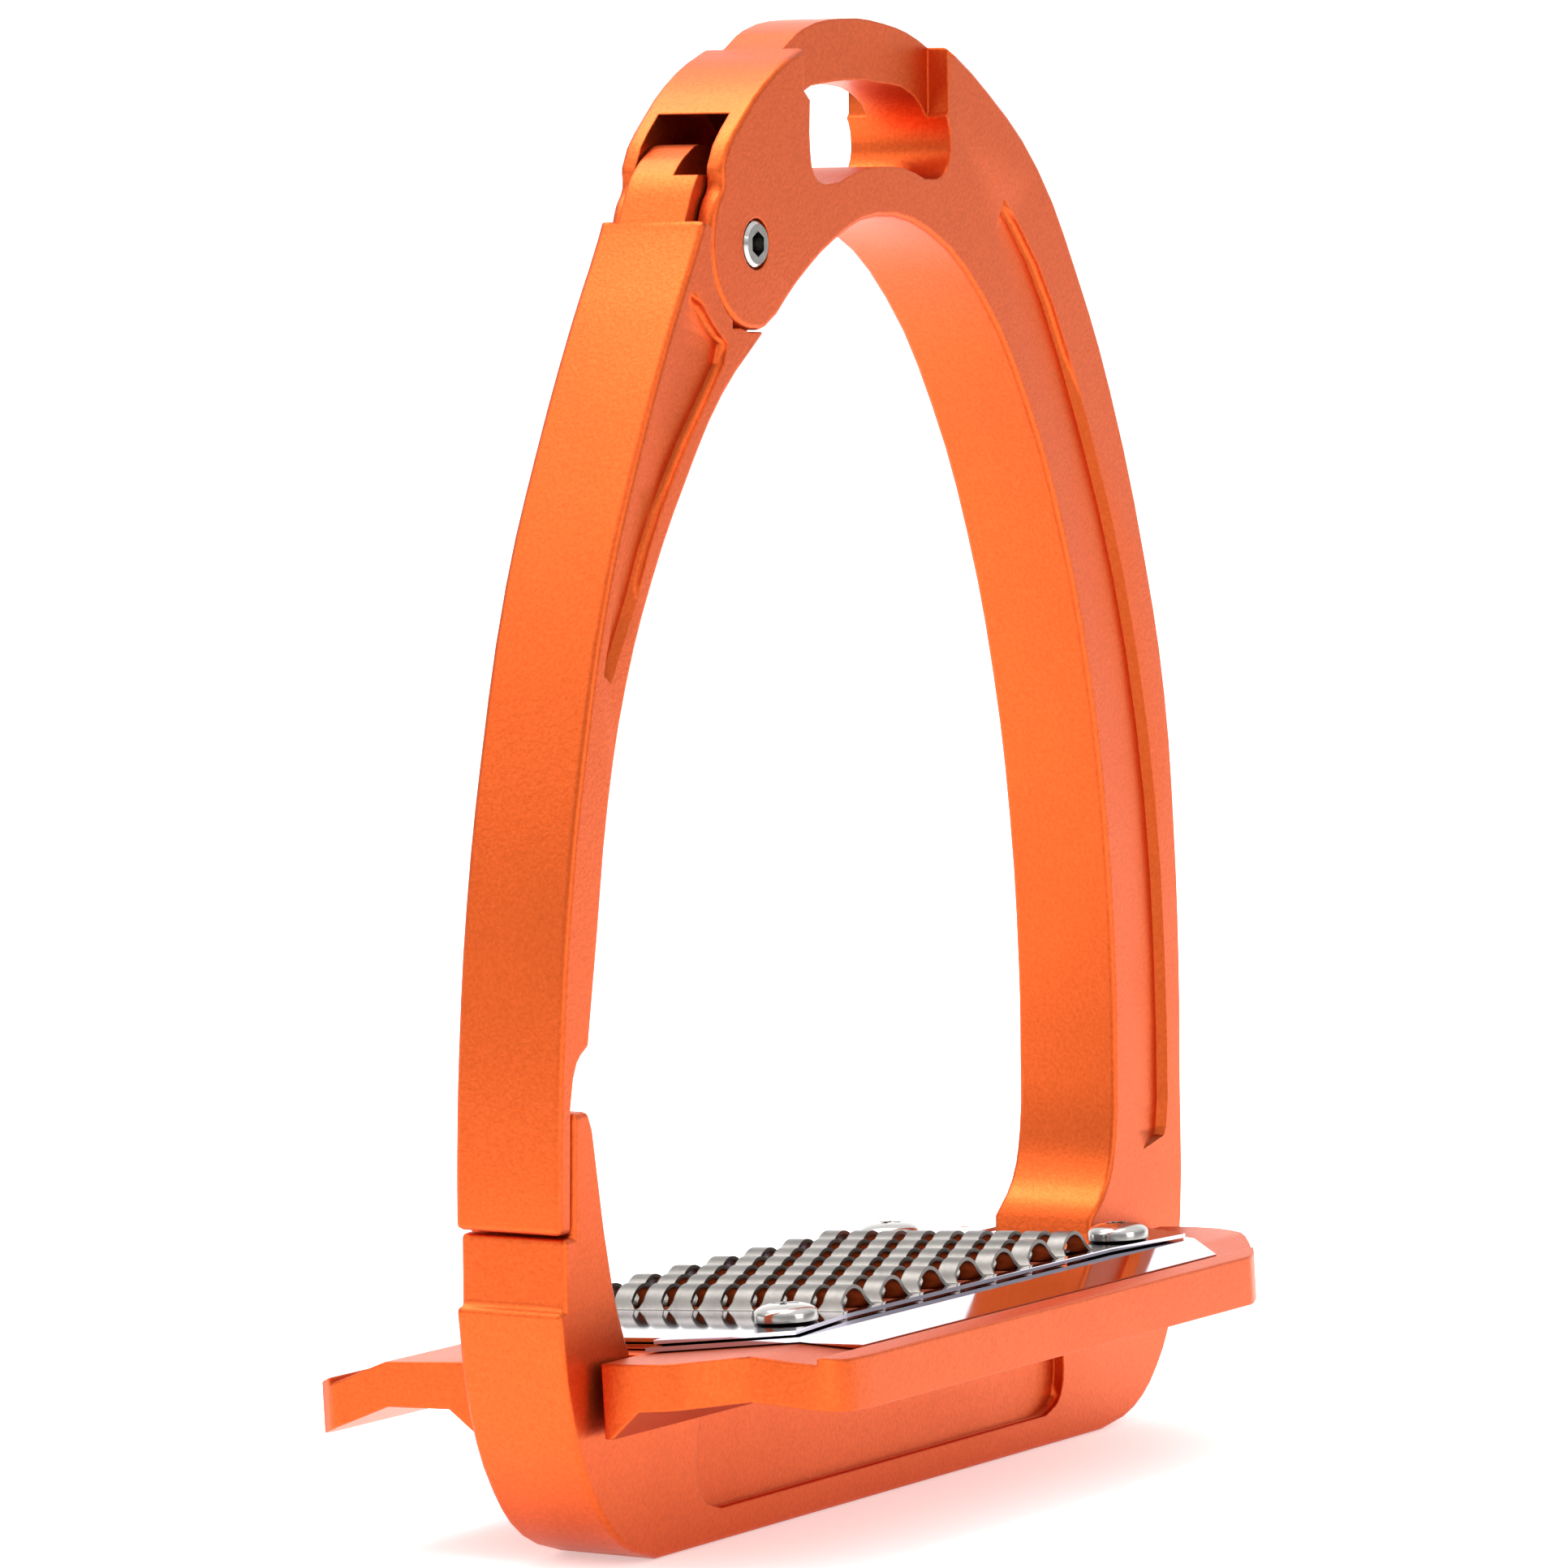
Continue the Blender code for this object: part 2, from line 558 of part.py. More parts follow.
def plate_section():
    """Cross-section in (y, z) of the plate, which follows the tread inside its lips."""
    low, high = SHEET_GAP, SHEET_GAP + PLATE
    edge = RIM_Y - 0.5
    front = (edge - CREST_HALF) * FALL
    rear = (edge - REAR_CREST) * REAR_FALL
    upper = [(edge, high - rear), (REAR_CREST, high), (-CREST_HALF, high), (-edge, high - front)]
    lower = [(-edge, low - front), (-CREST_HALF, low), (REAR_CREST, low), (edge, low - rear)]
    return [(y, z, 'c') for y, z in upper + lower]


def make_plate(parts, tools):
    quarter = [(57, 8.2, 'c'), (46.9, CREST_HALF, 'c'), (41.4, 28, 'c')]
    plan = four_corners(quarter, quarter, quarter, 54, 47.2, 8.2)
    plate = outline('tread_plate', plan, -6, 6, parts, flat=True)
    section = outline('plate_section', plate_section(), -70, 70, tools)
    section.data.transform(Matrix.Rotation(radians(90), 4, 'Z'))
    combine(plate, section, 'INTERSECT')
    tilt_tread(plate)
    tilt_tread(section)
    drill_screw_holes(plate, tools)
    window = box('plate_window', (-WINDOW_X, -WINDOW_Y, -2), (WINDOW_X, WINDOW_Y, 3), tools)
    tilt_tread(window)
    combine(plate, window)
    paint(plate, BRIGHT, 1.0, 0.06)


def ribbon_outline(base):
    """One row of the grip: a strip that rises in half-round arches along X."""
    start = -ARCHES / 2 * ARCH_PITCH
    upper, lower = [], []
    steps = 7
    for i in range(ARCHES * steps + 1):
        x = start + i * ARCH_PITCH / steps
        phase = (i % steps) / steps
        rise = ARCH_RISE * max(0, sin(pi * (phase * 1.5 - 0.25))) if 0.16 < phase < 0.84 else 0
        upper.append((x, base + SHEET + 0.1 + rise, 'c'))
        lower.append((x, base + 0.15 + rise, 'c'))
    return upper + lower[::-1]


def make_grip(parts, tools):
    base = GRIP_BASE
    quarter = [(55.5, 8.4, 'c'), (46.3, 20.9, 'c'), (31.5, 18.9, 'c')]
    plan = four_corners(quarter, quarter, quarter, 53.6, 46.6, 8.4)
    grip = outline('grip_sheet', plan, base, base + SHEET, parts, flat=True)
    ribbons = bmesh.new()
    for row in range(ROWS):
        middle = (row - (ROWS - 1) / 2) * ROW_PITCH
        ribbon = outline('ribbon', ribbon_outline(base), middle - ROW_PITCH / 2 + 0.15,
                         middle + ROW_PITCH / 2 - 0.15, tools)
        ribbons.from_mesh(ribbon.data)
        bpy.data.objects.remove(ribbon, do_unlink=True)
    mesh = bpy.data.meshes.new('ribbons')
    ribbons.to_mesh(mesh)
    ribbons.free()
    arches = add_object('ribbons', mesh, tools)
    combine(grip, arches, 'UNION', 'MANIFOLD')
    tilt_tread(arches)
    tilt_tread(grip)
    drill_screw_holes(grip, tools)
    paint(grip, STEEL, 1.0, 0.42)


def make_grip_screws(parts, tools):
    seat = GRIP_BASE + SHEET + SHEET_GAP
    names = {(-1, -1): 'front_left', (1, -1): 'front_right', (-1, 1): 'rear_left',
             (1, 1): 'rear_right'}
    for (side_x, side_y), label in names.items():
        dome = [(SCREW_HEAD_R * cos(radians(a)), seat + 0.5 + 1.6 * sin(radians(a)))
                for a in (60, 35, 12)]
        profile = [(0, seat + 2.1)] + dome + [(SCREW_HEAD_R, seat), (SCREW_R, seat),
                                              (SCREW_R, -3.9), (0, -3.9)]
        screw = turned('grip_screw_' + label, profile, parts, axis='Z')
        place_on_tread(screw, side_x * SCREW_X, side_y * SCREW_Y)
        socket = rod('screw_socket', 1.25, seat + 0.9, seat + 4, tools, (0, 0, 0), 'Z', 6)
        place_on_tread(socket, side_x * SCREW_X, side_y * SCREW_Y)
        combine(screw, socket)
        paint(screw, BRIGHT, 1.0, 0.2)


def make_tread_bolts(parts, tools):
    for x, label in ((-BOLT_X, 'left'), (BOLT_X, 'right')):
        washer = turned('bolt_washer_' + label, [(2.2, 6.1), (4.0, 6.1), (4.0, 5.3), (2.2, 5.3)],
                        parts, (x, 0, 0), 'Z')
        paint(washer, STEEL, 1.0, 0.35)
        bolt = turned('tread_bolt_' + label, [(0, 20.9), (1.9, 20.9), (1.9, 5.0), (3.6, 5.0),
                                              (3.6, 1.9), (3.2, 1.5), (0, 1.5)], parts,
                      (x, 0, 0), 'Z')
        combine(bolt, rod('bolt_socket', 1.7, -1, 3.6, tools, (x, 0, 0), 'Z', 6))
        paint(bolt, STEEL, 1.0, 0.3)


def main():
    clear_scene()
    parts = new_collection('stirrup_iron')
    tools = new_collection('cutters')
    make_frame(parts, tools)
    arm = make_arm(parts, tools)
    make_hinge(parts, tools, arm)
    make_spring(parts)
    make_tread(parts, tools)
    make_plate(parts, tools)
    make_grip(parts, tools)
    make_grip_screws(parts, tools)
    make_tread_bolts(parts, tools)


main()
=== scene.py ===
from math import cos, pi, radians, sin

import bmesh
import bpy
from mathutils import Matrix, Vector


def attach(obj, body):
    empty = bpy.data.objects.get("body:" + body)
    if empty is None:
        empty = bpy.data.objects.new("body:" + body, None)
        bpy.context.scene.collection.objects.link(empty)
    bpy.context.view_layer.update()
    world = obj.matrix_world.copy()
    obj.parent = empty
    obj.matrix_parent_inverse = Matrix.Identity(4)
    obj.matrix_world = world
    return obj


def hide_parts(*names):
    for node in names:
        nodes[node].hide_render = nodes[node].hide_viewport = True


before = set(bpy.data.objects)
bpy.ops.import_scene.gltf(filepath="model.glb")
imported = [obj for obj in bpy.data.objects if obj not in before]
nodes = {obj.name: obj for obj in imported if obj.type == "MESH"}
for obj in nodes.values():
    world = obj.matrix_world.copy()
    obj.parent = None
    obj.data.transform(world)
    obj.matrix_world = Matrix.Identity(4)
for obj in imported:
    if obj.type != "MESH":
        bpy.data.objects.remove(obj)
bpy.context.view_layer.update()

scene = bpy.context.scene


# ---- Camera ------------------------------------------------------------------------------------
# A long lens from the release arm's side, a little in front and just above the tread, so that
# the frame is seen almost edge on and its upright lines stay parallel.
CAMERA_TURN = radians(59.75)
CAMERA_DROP = radians(4.03)
CAMERA_ROLL = radians(-0.43)

camera_data = bpy.data.cameras.new("camera")
camera_data.lens = 178.2
camera_data.sensor_width = 36
camera_data.clip_end = 20
camera = bpy.data.objects.new("camera", camera_data)
turn = Matrix.Rotation(-CAMERA_TURN, 4, 'Z')
drop = Matrix.Rotation(pi / 2 - CAMERA_DROP, 4, 'X')
roll = Matrix.Rotation(CAMERA_ROLL, 4, 'Z')
camera.matrix_world = Matrix.Translation((-0.7720, -0.4431, 0.1443)) @ turn @ drop @ roll
scene.collection.objects.link(camera)
scene.camera = camera


# ---- Studio ------------------------------------------------------------------------------------
# A pale paper sweep runs under the stirrup and up behind it. Large soft boxes stand to the left,
# above and in front. The room is grey low down and bright overhead, so that upright faces stay deep
# in colour and faces that look up go pale. The paper glows a little, which keeps it evenly white.
PAPER_GLOW = 0.42
ROOM_LOW, ROOM_HIGH = 0.5, 1.5     # strength of the room near the horizon and overhead

def linear(hex_colour):
    """An sRGB hex colour such as 'D45C38' as linear red, green, blue and alpha."""
    parts = [int(hex_colour[i:i + 2], 16) / 255 for i in (0, 2, 4)]
    return [c / 12.92 if c <= 0.04045 else ((c + 0.055) / 1.055) ** 2.4 for c in parts] + [1]


def add_node(tree, kind, inputs=(), **settings):
    """Add a node. inputs gives each socket a value, or another node's output to read."""
    node = tree.nodes.new(kind)
    for name, value in settings.items():
        setattr(node, name, value)
    for socket, value in dict(inputs).items():
        if isinstance(value, bpy.types.NodeSocket):
            tree.links.new(value, node.inputs[socket])
        else:
            node.inputs[socket].default_value = value
    return node


def new_material(name):
    """A material with its node tree, its object coordinates and its shader."""
    made = bpy.data.materials.new(name)
    made.use_nodes = True
    tree = made.node_tree
    place = tree.nodes.new('ShaderNodeTexCoord').outputs['Object']
    return made, tree, place, tree.nodes['Principled BSDF']


paper, tree, place, shader = new_material("paper_sweep")
shader.inputs['Base Color'].default_value = linear('F4F3F2')
shader.inputs['Roughness'].default_value = 0.9
fibre = add_node(tree, 'ShaderNodeTexNoise', {'Vector': place, 'Scale': 900.0, 'Detail': 2.0})
bump = add_node(tree, 'ShaderNodeBump', {'Height': fibre.outputs['Fac'], 'Strength': 0.05,
                                         'Distance': 0.0005})
tree.links.new(bump.outputs['Normal'], shader.inputs['Normal'])
shader.inputs['Emission Color'].default_value = linear('FFFFFF')
shader.inputs['Emission Strength'].default_value = PAPER_GLOW

SWEEP_HALF = 3.0
SWEEP_BACK = 1.6
SWEEP_BEND = 0.7
bm = bmesh.new()
knots = [bm.verts.new((-SWEEP_HALF, -SWEEP_HALF, 0)), bm.verts.new((-SWEEP_HALF, SWEEP_BACK, 0))]
for i in range(1, 13):
    angle = radians(90 * i / 12)
    knots.append(bm.verts.new((-SWEEP_HALF, SWEEP_BACK + SWEEP_BEND * sin(angle),
                               SWEEP_BEND * (1 - cos(angle)))))
knots.append(bm.verts.new((-SWEEP_HALF, SWEEP_BACK + SWEEP_BEND, 3)))
spine = [bm.edges.new(pair) for pair in zip(knots, knots[1:])]
spread = bmesh.ops.extrude_edge_only(bm, edges=spine)
moved = [part for part in spread['geom'] if isinstance(part, bmesh.types.BMVert)]
bmesh.ops.translate(bm, vec=(2 * SWEEP_HALF, 0, 0), verts=moved)
bmesh.ops.rotate(bm, cent=(0, 0, 0), matrix=Matrix.Rotation(-CAMERA_TURN, 3, 'Z'), verts=bm.verts)
bmesh.ops.translate(bm, vec=(0, 0, -0.0002), verts=bm.verts)
bmesh.ops.recalc_face_normals(bm, faces=bm.faces)
mesh = bpy.data.meshes.new("sweep")
bm.to_mesh(mesh)
bm.free()
mesh.shade_smooth()
sweep = bpy.data.objects.new("sweep", mesh)
sweep.data.materials.append(paper)
scene.collection.objects.link(sweep)

room = bpy.data.worlds.new("room")
room.use_nodes = True
tree = room.node_tree
way = add_node(tree, 'ShaderNodeTexCoord')
height = add_node(tree, 'ShaderNodeSeparateXYZ', {'Vector': way.outputs['Generated']})
rise = add_node(tree, 'ShaderNodeMapRange', {'Value': height.outputs['Z'], 'From Min': 0.1,
                                             'From Max': 0.8, 'To Min': ROOM_LOW,
                                             'To Max': ROOM_HIGH})
backdrop = tree.nodes['Background']
backdrop.inputs['Color'].default_value = linear('F4F3F5')
tree.links.new(rise.outputs['Result'], backdrop.inputs['Strength'])
scene.world = room
scene.view_settings.view_transform = 'Standard'


def soft_box(name, place, power, width, height):
    """A soft box aimed at the middle of the stirrup."""
    lamp = bpy.data.lights.new(name, 'AREA')
    lamp.shape = 'RECTANGLE'
    lamp.size = width
    lamp.size_y = height
    lamp.energy = power
    item = bpy.data.objects.new(name, lamp)
    aim = Vector((0, 0, 0.09)) - Vector(place)
    item.matrix_world = Matrix.Translation(place) @ aim.to_track_quat('-Z', 'Y').to_matrix().to_4x4()
    scene.collection.objects.link(item)


soft_box("top_box", (-0.1, 0.3, 1.3), 20, 1.0, 1.0)
soft_box("left_box", (-1.1, 0.9, 0.9), 4, 0.7, 0.9)
soft_box("front_box", (-0.3, -1.5, 0.5), 6, 0.8, 0.8)


# ---- Frame, release arm and tread platform -----------------------------------------------------
# Forged aluminium, bead blasted and anodised orange: a satin metal whose dyed oxide layer colours
# every reflection, with a fine even grain and edges that catch the light.
ORANGE = 'DE642F'
ORANGE_DEEP = 'B4481C'
BLAST_GRIT_MM = 0.45       # real grit leaves 0.1 mm pits, drawn coarser so that they show
CLOUD_MM = 14

anodised, tree, place, shader = new_material("anodised_aluminium_bead_blasted")
grit = add_node(tree, 'ShaderNodeTexNoise', {'Vector': place, 'Scale': 1000 / BLAST_GRIT_MM,
                                             'Detail': 3.0, 'Roughness': 0.6})
cloud = add_node(tree, 'ShaderNodeTexNoise', {'Vector': place, 'Scale': 1000 / CLOUD_MM,
                                              'Detail': 2.0})
tone_and_painted_shade = add_node(tree, 'ShaderNodeMix', {'Factor': grit.outputs['Fac'], 6: linear(ORANGE_DEEP),
                                        7: linear(ORANGE)}, data_type='RGBA')
tree.links.new(tone_and_painted_shade.outputs[2], shader.inputs['Base Color'])
satin = add_node(tree, 'ShaderNodeMapRange', {'Value': cloud.outputs['Fac'], 'To Min': 0.36,
                                              'To Max': 0.46})
tree.links.new(satin.outputs['Result'], shader.inputs['Roughness'])
shader.inputs['Metallic'].default_value = 1.0
worn = add_node(tree, 'ShaderNodeBevel', {'Radius': 0.00035}, samples=4)
bump = add_node(tree, 'ShaderNodeBump', {'Height': grit.outputs['Fac'], 'Strength': 0.2,
                                         'Distance': 0.0002, 'Normal': worn.outputs['Normal']})
tree.links.new(bump.outputs['Normal'], shader.inputs['Normal'])


def finished_copy(node_name, name, body, material, angle=40):
    """A merged, smooth-shaded copy of a solid, which stands for it."""
    source = bmesh.new()
    source.from_mesh(nodes[node_name].data)
    bmesh.ops.remove_doubles(source, verts=source.verts, dist=1e-6)
    bmesh.ops.dissolve_limit(source, angle_limit=radians(0.2), verts=source.verts,
                             edges=source.edges)
    made = bpy.data.meshes.new(name)
    source.to_mesh(made)
    source.free()
    made.shade_smooth()
    made.set_sharp_from_angle(angle=radians(angle))
    made.materials.clear()
    made.materials.append(material)
    item = bpy.data.objects.new(name, made)
    scene.collection.objects.link(item)
    weighted = item.modifiers.new('flat_faces', 'WEIGHTED_NORMAL')
    weighted.keep_sharp = True
    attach(item, body)
    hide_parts(node_name)
    return item


finished_copy("frame", "bowed_frame", "stirrup", anodised)
finished_copy("release_arm", "sprung_arm", "arm", anodised)
finished_copy("tread_platform", "wing_tread", "stirrup", anodised)


# ---- Mirror plate ------------------------------------------------------------------------------
# Thin stainless sheet, mirror polished, with its long edges folded down over the tread.
mirror, tree, place, shader = new_material("stainless_sheet_mirror_polished")
shader.inputs['Metallic'].default_value = 1.0
shader.inputs['Base Color'].default_value = linear('C6C2CE')
haze = add_node(tree, 'ShaderNodeTexNoise', {'Vector': place, 'Scale': 1000 / 6.0, 'Detail': 4.0})
polish = add_node(tree, 'ShaderNodeMapRange', {'Value': haze.outputs['Fac'], 'To Min': 0.03,
                                               'To Max': 0.09})
tree.links.new(polish.outputs['Result'], shader.inputs['Roughness'])
finished_copy("tread_plate", "mirror_plate", "stirrup", mirror, 10)


# ---- Grip sheet --------------------------------------------------------------------------------
# Pressed stainless sheet: straight rows of lanced arches stand up from it, one behind another, so
# that a boot sole beds into their edges. The arches are blasted matte and bright along their cut
# edges, and the flat border round them is polished. Hollows under and between the arches are
# darkened to brown with painted shade.
TREAD_TILT = radians(-3.2)
TREAD_Z = 0.0229
GRIP_Z = 0.0009            # underside of the sheet above the tread's middle plane
SHEET = 0.00045
PITCH = 0.0087
ROW = 0.0039
ROWS = 9
ARCHES = 7                 # in each row
WAIST = 0.0008             # how far an arch's sides stand in from its row's edges
ARCH_RISE = 0.0026
WAIST_RISE = 0.3           # share of the rise by which an arch is down to its waist
ARCH_HALF = 0.34           # half of an arch's opening, as a share of the pitch

on_tread = Matrix.Translation((0, 0, TREAD_Z)) @ Matrix.Rotation(TREAD_TILT, 4, 'X')

matte, tree, place, shader = new_material("stainless_sheet_blasted")
shader.inputs['Metallic'].default_value = 1.0
speck = add_node(tree, 'ShaderNodeTexNoise', {'Vector': place, 'Scale': 1000 / 0.5, 'Detail': 3.0})
cloud = add_node(tree, 'ShaderNodeTexNoise', {'Vector': place, 'Scale': 1000 / 3.0, 'Detail': 2.0})
steel = add_node(tree, 'ShaderNodeMix', {'Factor': cloud.outputs['Fac'], 6: linear('5E5B58'),
                                         7: linear('827E79')}, data_type='RGBA')
# Painted shade: where ambient occlusion finds the sheet shut in, its colour goes to dark brown
# 3A2620.
painted_shade_occlusion = add_node(tree, 'ShaderNodeAmbientOcclusion', {'Distance': 0.003}, samples=8)
painted_shade_mask = add_node(tree, 'ShaderNodeMapRange', {'Value': painted_shade_occlusion.outputs['AO'], 'From Min': 0.25,
                                              'From Max': 0.75})
tone_and_painted_shade = add_node(tree, 'ShaderNodeMix', {'Factor': painted_shade_mask.outputs['Result'], 6: linear('3A2620'),
                                        7: steel.outputs[2]}, data_type='RGBA')
tree.links.new(tone_and_painted_shade.outputs[2], shader.inputs['Base Color'])
rough = add_node(tree, 'ShaderNodeMapRange', {'Value': speck.outputs['Fac'], 'To Min': 0.28,
                                              'To Max': 0.42})
tree.links.new(rough.outputs['Result'], shader.inputs['Roughness'])
cut_edge = add_node(tree, 'ShaderNodeBevel', {'Radius': 0.00015}, samples=4)
bump = add_node(tree, 'ShaderNodeBump', {'Height': speck.outputs['Fac'], 'Strength': 0.15,
                                         'Distance': 0.0001, 'Normal': cut_edge.outputs['Normal']})
tree.links.new(bump.outputs['Normal'], shader.inputs['Normal'])


def arch_height(share):
    """Height of the sheet at a share of one pitch: flat feet and a full round arch between."""
    across = abs(share - 0.5) / ARCH_HALF
    if across >= 1:
        return 0
    return ARCH_RISE * (1 - across ** 2) ** 0.65


def add_row(bm, middle):
    """One lanced row: a strip along X that rises in arches."""
    steps = 24
    length = ARCHES * PITCH
    grid = bmesh.ops.create_grid(bm, x_segments=ARCHES * steps, y_segments=1, size=0.5)
    for vert in grid['verts']:
        height = arch_height((vert.co.x + 0.5) * ARCHES % 1)
        width = ROW - 2 * WAIST * min(1, height / (WAIST_RISE * ARCH_RISE))
        vert.co = (vert.co.x * length, middle + vert.co.y * width, GRIP_Z + height)


bm = bmesh.new()
for row in range(ROWS):
    add_row(bm, (row - (ROWS - 1) / 2) * ROW)
HALF_ROWS = ROWS * ROW / 2
HALF_LENGTH = ARCHES * PITCH / 2
QUARTER = [(0.0555, 0.0084), (0.0463, 0.0209), (0.0315, 0.0189)]
outline = [(x, -y) for x, y in QUARTER] + [(-x, -y) for x, y in reversed(QUARTER)]
outline += [(-0.0536, -0.0084), (-0.0536, 0.0084)]
outline += [(-x, y) for x, y in QUARTER] + [(x, y) for x, y in reversed(QUARTER)]
outline += [(0.0466, 0.0084), (0.0466, -0.0084)]
window = [(s * HALF_LENGTH, t * HALF_ROWS) for s, t in ((-1, -1), (1, -1), (1, 1), (-1, 1))]
rim = []
for loop in (outline, window):
    corners = [bm.verts.new((x, y, GRIP_Z)) for x, y in loop]
    rim += [bm.edges.new((a, b)) for a, b in zip(corners, corners[1:] + corners[:1])]
bmesh.ops.triangle_fill(bm, edges=rim, use_beauty=True)
for face in bm.faces:
    if face.normal.z < 0:
        face.normal_flip()
bmesh.ops.solidify(bm, geom=bm.faces[:], thickness=-SHEET)
for face in bm.faces:
    middle = face.calc_center_median()
    on_border = abs(middle.x) > HALF_LENGTH or abs(middle.y) > HALF_ROWS
    face.material_index = 1 if on_border else 0
bmesh.ops.transform(bm, matrix=on_tread, verts=bm.verts)
bmesh.ops.recalc_face_normals(bm, faces=bm.faces)
mesh = bpy.data.meshes.new("arched_grip")
bm.to_mesh(mesh)
bm.free()
mesh.shade_smooth()
mesh.set_sharp_from_angle(angle=radians(35))
mesh.materials.append(matte)
mesh.materials.append(mirror)
grip = bpy.data.objects.new("arched_grip", mesh)
scene.collection.objects.link(grip)
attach(grip, "stirrup")
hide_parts("grip_sheet")


# ---- Grip screws -------------------------------------------------------------------------------
# Four plated pan-head screws with a cross recess hold the grip and the mirror plate down. Enclosed
# places on them, such as the cross recess and the seat under the head, are darkened with painted
# shade.
SCREW_X = 0.0392
SCREW_Y = 0.0156
HEAD_R = 0.0036
HEAD_Z = 0.0021
SEAT_Z = GRIP_Z + SHEET + 0.00005

plated, tree, place, shader = new_material("steel_screw_nickel_plated")
shader.inputs['Metallic'].default_value = 1.0
# Painted shade: where ambient occlusion finds the metal shut in, its colour goes to near black
# 1E1A18.
painted_shade_occlusion = add_node(tree, 'ShaderNodeAmbientOcclusion', {'Distance': 0.0018}, samples=8)
painted_recess_shade = add_node(tree, 'ShaderNodeMapRange', {'Value': painted_shade_occlusion.outputs['AO'], 'From Min': 0.35,
                                              'From Max': 0.8})
tone_and_painted_shade = add_node(tree, 'ShaderNodeMix', {'Factor': painted_recess_shade.outputs['Result'], 6: linear('1E1A18'),
                                        7: linear('B4B2AE')}, data_type='RGBA')
tree.links.new(tone_and_painted_shade.outputs[2], shader.inputs['Base Color'])
smear = add_node(tree, 'ShaderNodeTexNoise', {'Vector': place, 'Scale': 1000 / 1.2, 'Detail': 3.0})
shine = add_node(tree, 'ShaderNodeMapRange', {'Value': smear.outputs['Fac'], 'To Min': 0.12,
                                              'To Max': 0.24})
tree.links.new(shine.outputs['Result'], shader.inputs['Roughness'])


def screw_mesh(name):
    """A pan head spun round Z and its shank, into which the tapered cross is cut afterwards."""
    bm = bmesh.new()
    profile = [(0, HEAD_Z)]
    for angle in range(80, -1, -10):
        profile.append((HEAD_R * 0.25 + HEAD_R * 0.75 * cos(radians(angle)),
                        HEAD_Z * 0.45 + HEAD_Z * 0.55 * sin(radians(angle))))
    profile += [(HEAD_R, 0.0002), (HEAD_R - 0.0002, 0), (0.0015, 0), (0.0015, -0.0055),
                (0, -0.0055)]
    knots = [bm.verts.new((x, 0, z)) for x, z in profile]
    edges = [bm.edges.new(pair) for pair in zip(knots, knots[1:])]
    bmesh.ops.spin(bm, geom=knots + edges, cent=(0, 0, 0), axis=(0, 0, 1), angle=2 * pi,
                   steps=48, use_merge=True)
    bmesh.ops.remove_doubles(bm, verts=bm.verts, dist=1e-7)
    bmesh.ops.recalc_face_normals(bm, faces=bm.faces)
    made = bpy.data.meshes.new(name)
    bm.to_mesh(made)
    bm.free()
    return made


def cross_mesh():
    """Cutter for the cross recess: two tapered bars that meet in a point."""
    bm = bmesh.new()
    for quarter in (0, 1):
        bar = bmesh.ops.create_cube(bm, size=1)['verts']
        for vert in bar:
            deep = vert.co.z < 0
            vert.co.x *= 0.0012 if deep else 0.0042
            vert.co.y *= 0.0005 if deep else 0.0010
            vert.co.z = HEAD_Z - 0.0017 if deep else HEAD_Z + 0.001
        bmesh.ops.rotate(bm, cent=(0, 0, 0), matrix=Matrix.Rotation(quarter * pi / 2, 3, 'Z'),
                         verts=bar)
    made = bpy.data.meshes.new("cross_recess")
    bm.to_mesh(made)
    bm.free()
    return made


cutter = bpy.data.objects.new("cross_recess", cross_mesh())
scene.collection.objects.link(cutter)
blank = bpy.data.objects.new("screw_blank", screw_mesh("screw_blank"))
scene.collection.objects.link(blank)
recess = blank.modifiers.new('recess', 'BOOLEAN')
recess.object = cutter
recess.solver = 'EXACT'
recess.use_self = True
bpy.context.view_layer.update()
pan_head = bpy.data.meshes.new_from_object(blank.evaluated_get(
    bpy.context.evaluated_depsgraph_get()))
bpy.data.objects.remove(blank)
bpy.data.objects.remove(cutter)
pan_head.shade_smooth()
pan_head.set_sharp_from_angle(angle=radians(35))
pan_head.materials.append(plated)

SCREW_PLACES = {"front_left": (-1, -1, 20), "front_right": (1, -1, 65), "rear_left": (-1, 1, 40),
                "rear_right": (1, 1, 5)}
for label, (side_x, side_y, turned) in SCREW_PLACES.items():
    mesh = pan_head.copy()
    mesh.transform(on_tread @ Matrix.Translation((side_x * SCREW_X, side_y * SCREW_Y, SEAT_Z))
                   @ Matrix.Rotation(radians(turned), 4, 'Z'))
    screw = bpy.data.objects.new("pan_screw_" + label, mesh)
    scene.collection.objects.link(screw)
    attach(screw, "stirrup")
    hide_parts("grip_screw_" + label)
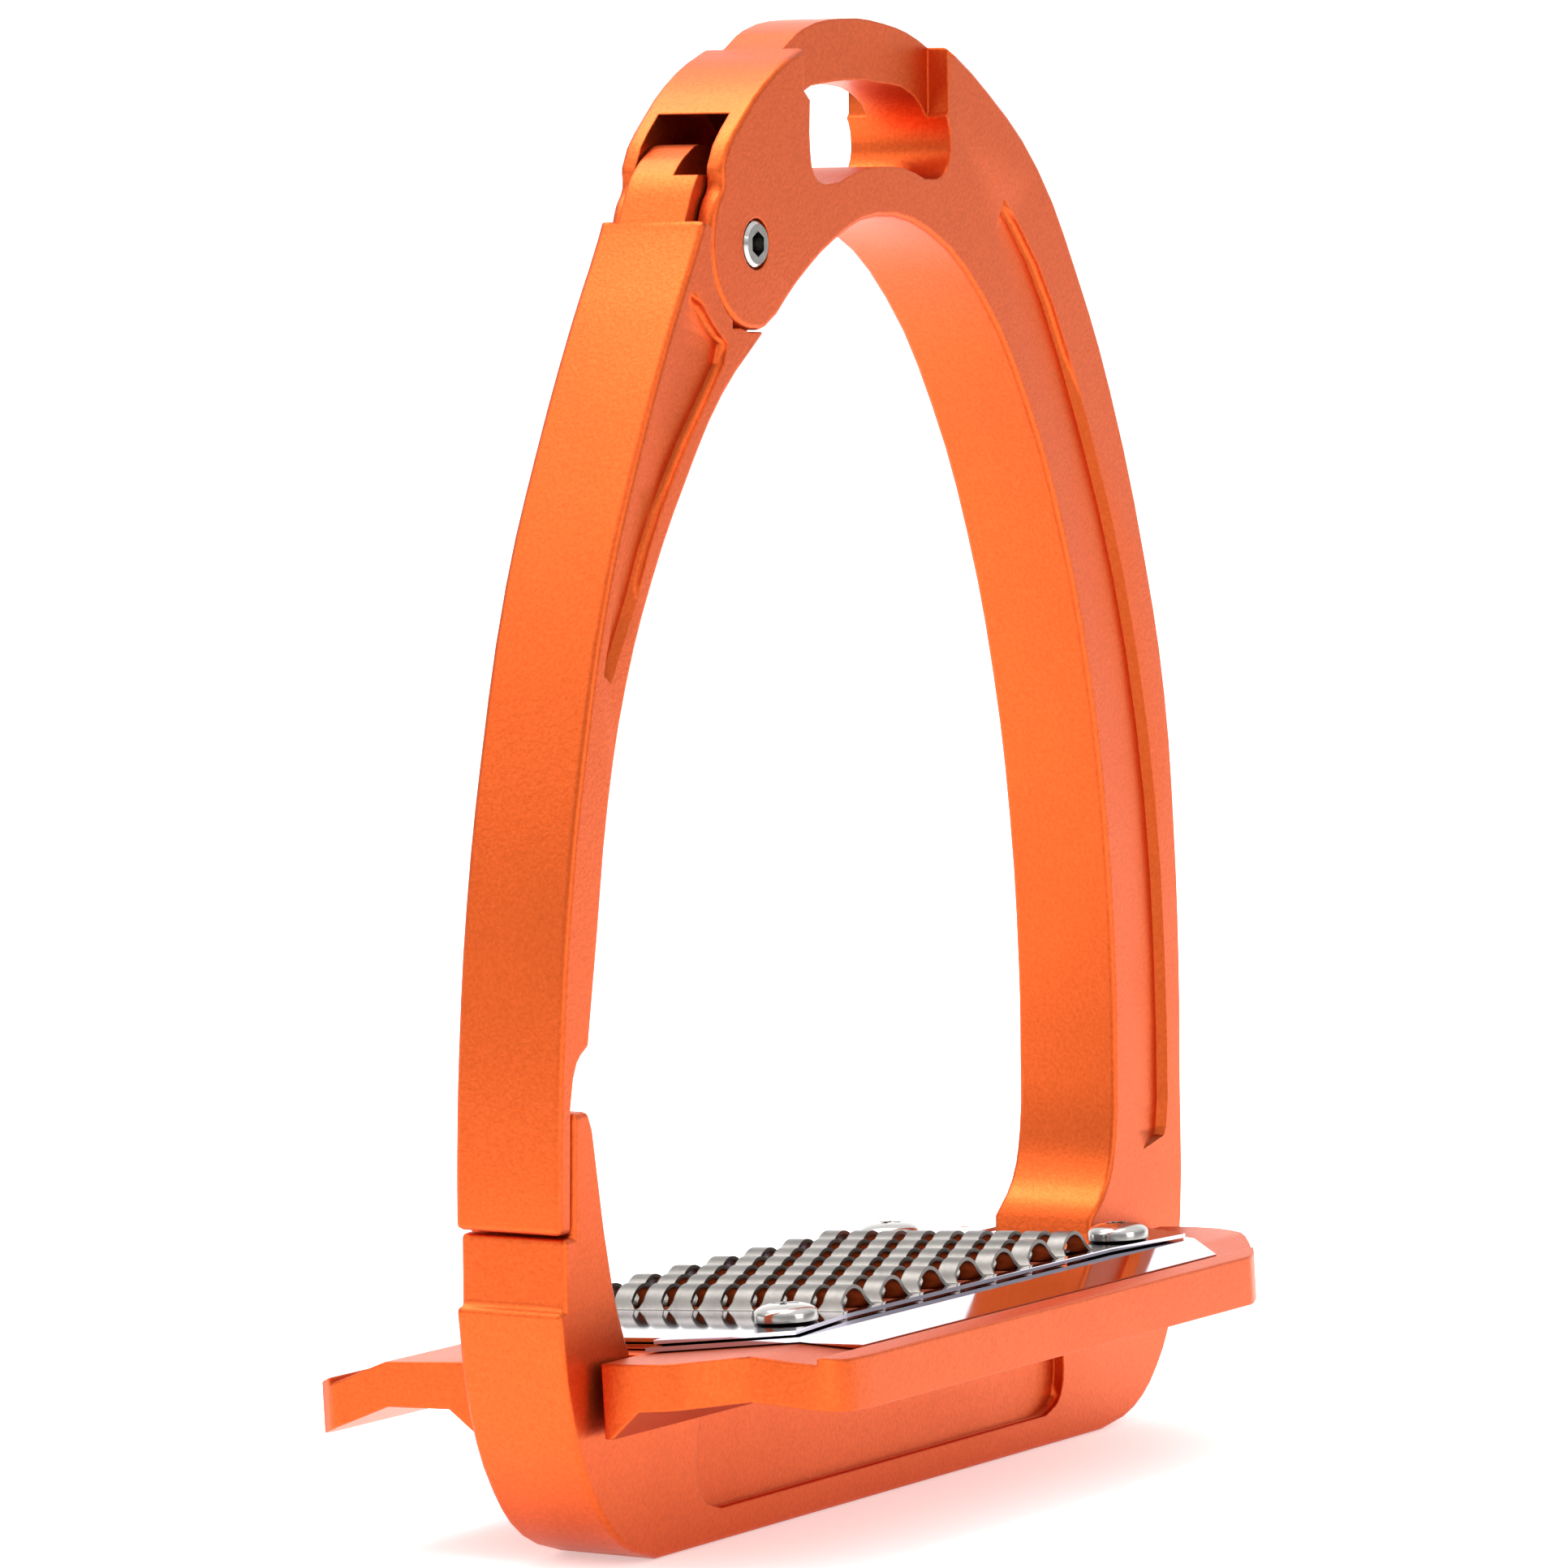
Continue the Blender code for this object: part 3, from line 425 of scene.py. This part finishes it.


# ---- Hinge pin, bush, washers and spring -------------------------------------------------------
# The pin and its lock screw are bright plated steel with hex sockets, the bush and washers turned
# bronze, and the spring drawn steel wire.
# The plated material darkens their hex sockets with painted shade.
finished_copy("hinge_pin", "socket_pin", "stirrup", plated, 30)
finished_copy("hinge_lock_screw", "lock_screw", "stirrup", plated, 30)

wire, tree, place, shader = new_material("spring_wire_drawn")
shader.inputs['Metallic'].default_value = 1.0
shader.inputs['Base Color'].default_value = linear('B9B7B2')
draw = add_node(tree, 'ShaderNodeTexNoise', {'Vector': place, 'Scale': 1000 / 0.8, 'Detail': 2.0})
shine = add_node(tree, 'ShaderNodeMapRange', {'Value': draw.outputs['Fac'], 'To Min': 0.2,
                                              'To Max': 0.38})
tree.links.new(shine.outputs['Result'], shader.inputs['Roughness'])
finished_copy("closing_spring", "torsion_spring", "stirrup", wire, 50)

bronze, tree, place, shader = new_material("bearing_bronze_turned")
shader.inputs['Metallic'].default_value = 1.0
shader.inputs['Base Color'].default_value = linear('B98A55')
score = add_node(tree, 'ShaderNodeTexNoise', {'Vector': place, 'Scale': 1000 / 0.6, 'Detail': 2.0})
shine = add_node(tree, 'ShaderNodeMapRange', {'Value': score.outputs['Fac'], 'To Min': 0.3,
                                              'To Max': 0.45})
tree.links.new(shine.outputs['Result'], shader.inputs['Roughness'])
for name in ("hinge_bush", "thrust_washer_front", "thrust_washer_rear"):
    finished_copy(name, "bronze_" + name, "arm", bronze, 30)


# ---- Tread bolts -------------------------------------------------------------------------------
# Zinc-plated socket bolts and washers pull the tread down on the base bar from below.
zinc, tree, place, shader = new_material("steel_bolt_zinc_plated")
shader.inputs['Metallic'].default_value = 1.0
spangle = add_node(tree, 'ShaderNodeTexNoise', {'Vector': place, 'Scale': 1000 / 1.5,
                                                'Detail': 3.0})
tone_and_painted_shade = add_node(tree, 'ShaderNodeMix', {'Factor': spangle.outputs['Fac'], 6: linear('A9ABAC'),
                                        7: linear('CFD0CE')}, data_type='RGBA')
tree.links.new(tone_and_painted_shade.outputs[2], shader.inputs['Base Color'])
shader.inputs['Roughness'].default_value = 0.32
for side in ("left", "right"):
    finished_copy("tread_bolt_" + side, "socket_bolt_" + side, "stirrup", zinc, 30)
    finished_copy("bolt_washer_" + side, "zinc_washer_" + side, "stirrup", zinc, 30)
